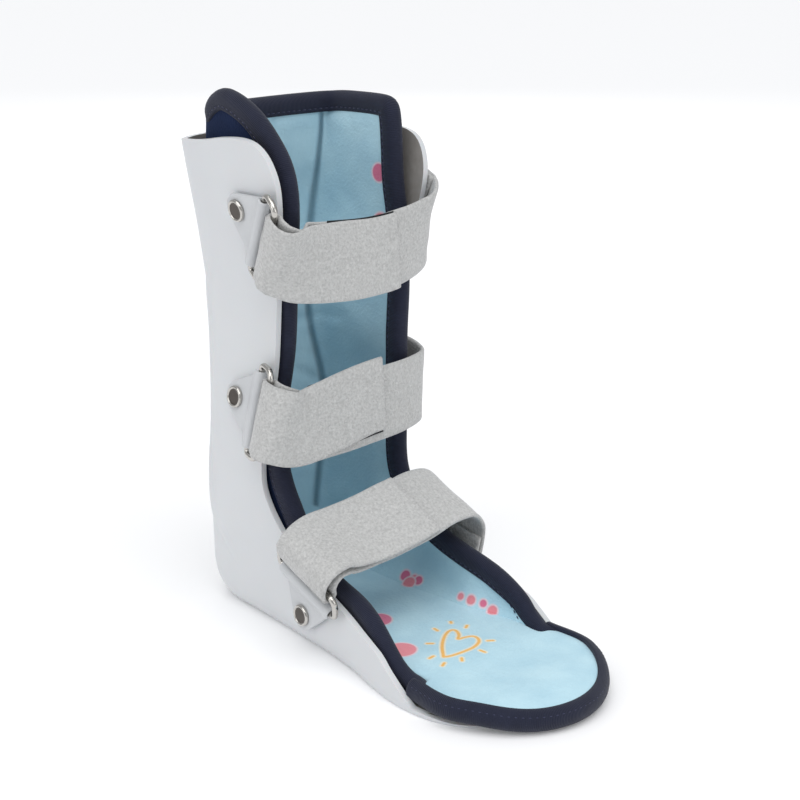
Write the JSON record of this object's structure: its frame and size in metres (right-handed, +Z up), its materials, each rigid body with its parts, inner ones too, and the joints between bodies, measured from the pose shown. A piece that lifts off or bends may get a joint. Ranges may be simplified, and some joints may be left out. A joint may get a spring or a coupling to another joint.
{
  "type": "medical walking boot",
  "caption": "Rigid ankle and foot splint: moulded heel, leg and sole shell, padded liner and footbed, and webbing straps through metal rings.",
  "frame": {"origin": "on the flat underside of the sole, under the middle of the leg", "axes": "+Z up along the leg, +Y to the toes, +X to the wearer's right, the side of the rings"},
  "size_m": [0.1169, 0.2413, 0.2676],
  "materials": {
    "moulded_plastic": "satin light grey polypropylene",
    "navy_velour": "brushed navy velour over foam",
    "blue_plush": "short pale blue plush over foam",
    "navy_binding": "ribbed navy tape, stitched",
    "grey_webbing": "fuzzy grey loop webbing",
    "grey_tab": "plain grey coated webbing",
    "nickel": "polished nickel plate",
    "blue_satin": "blue satin ribbon",
    "white_satin": "white satin ribbon"
  },
  "bodies": {
    "root": {"shell": "moulded_plastic", "liner": "navy_velour", "footbed": "blue_plush", "leg_binding": "navy_binding", "toe_binding": "navy_binding", "strap_top": "grey_webbing", "tab_top": "grey_tab", "d_ring_top": "nickel", "tab_rivet_top": "nickel", "strap_rivet_top": "nickel", "strap_middle": "grey_webbing", "tab_middle": "grey_tab", "d_ring_middle": "nickel", "tab_rivet_middle": "nickel", "strap_rivet_middle": "nickel", "strap_bottom": "grey_webbing", "tab_bottom": "grey_tab", "d_ring_bottom": "nickel", "tab_rivet_bottom": "nickel", "strap_rivet_bottom": "nickel", "label_blue": "blue_satin", "label_white": "white_satin"}
  },
  "joints": []
}
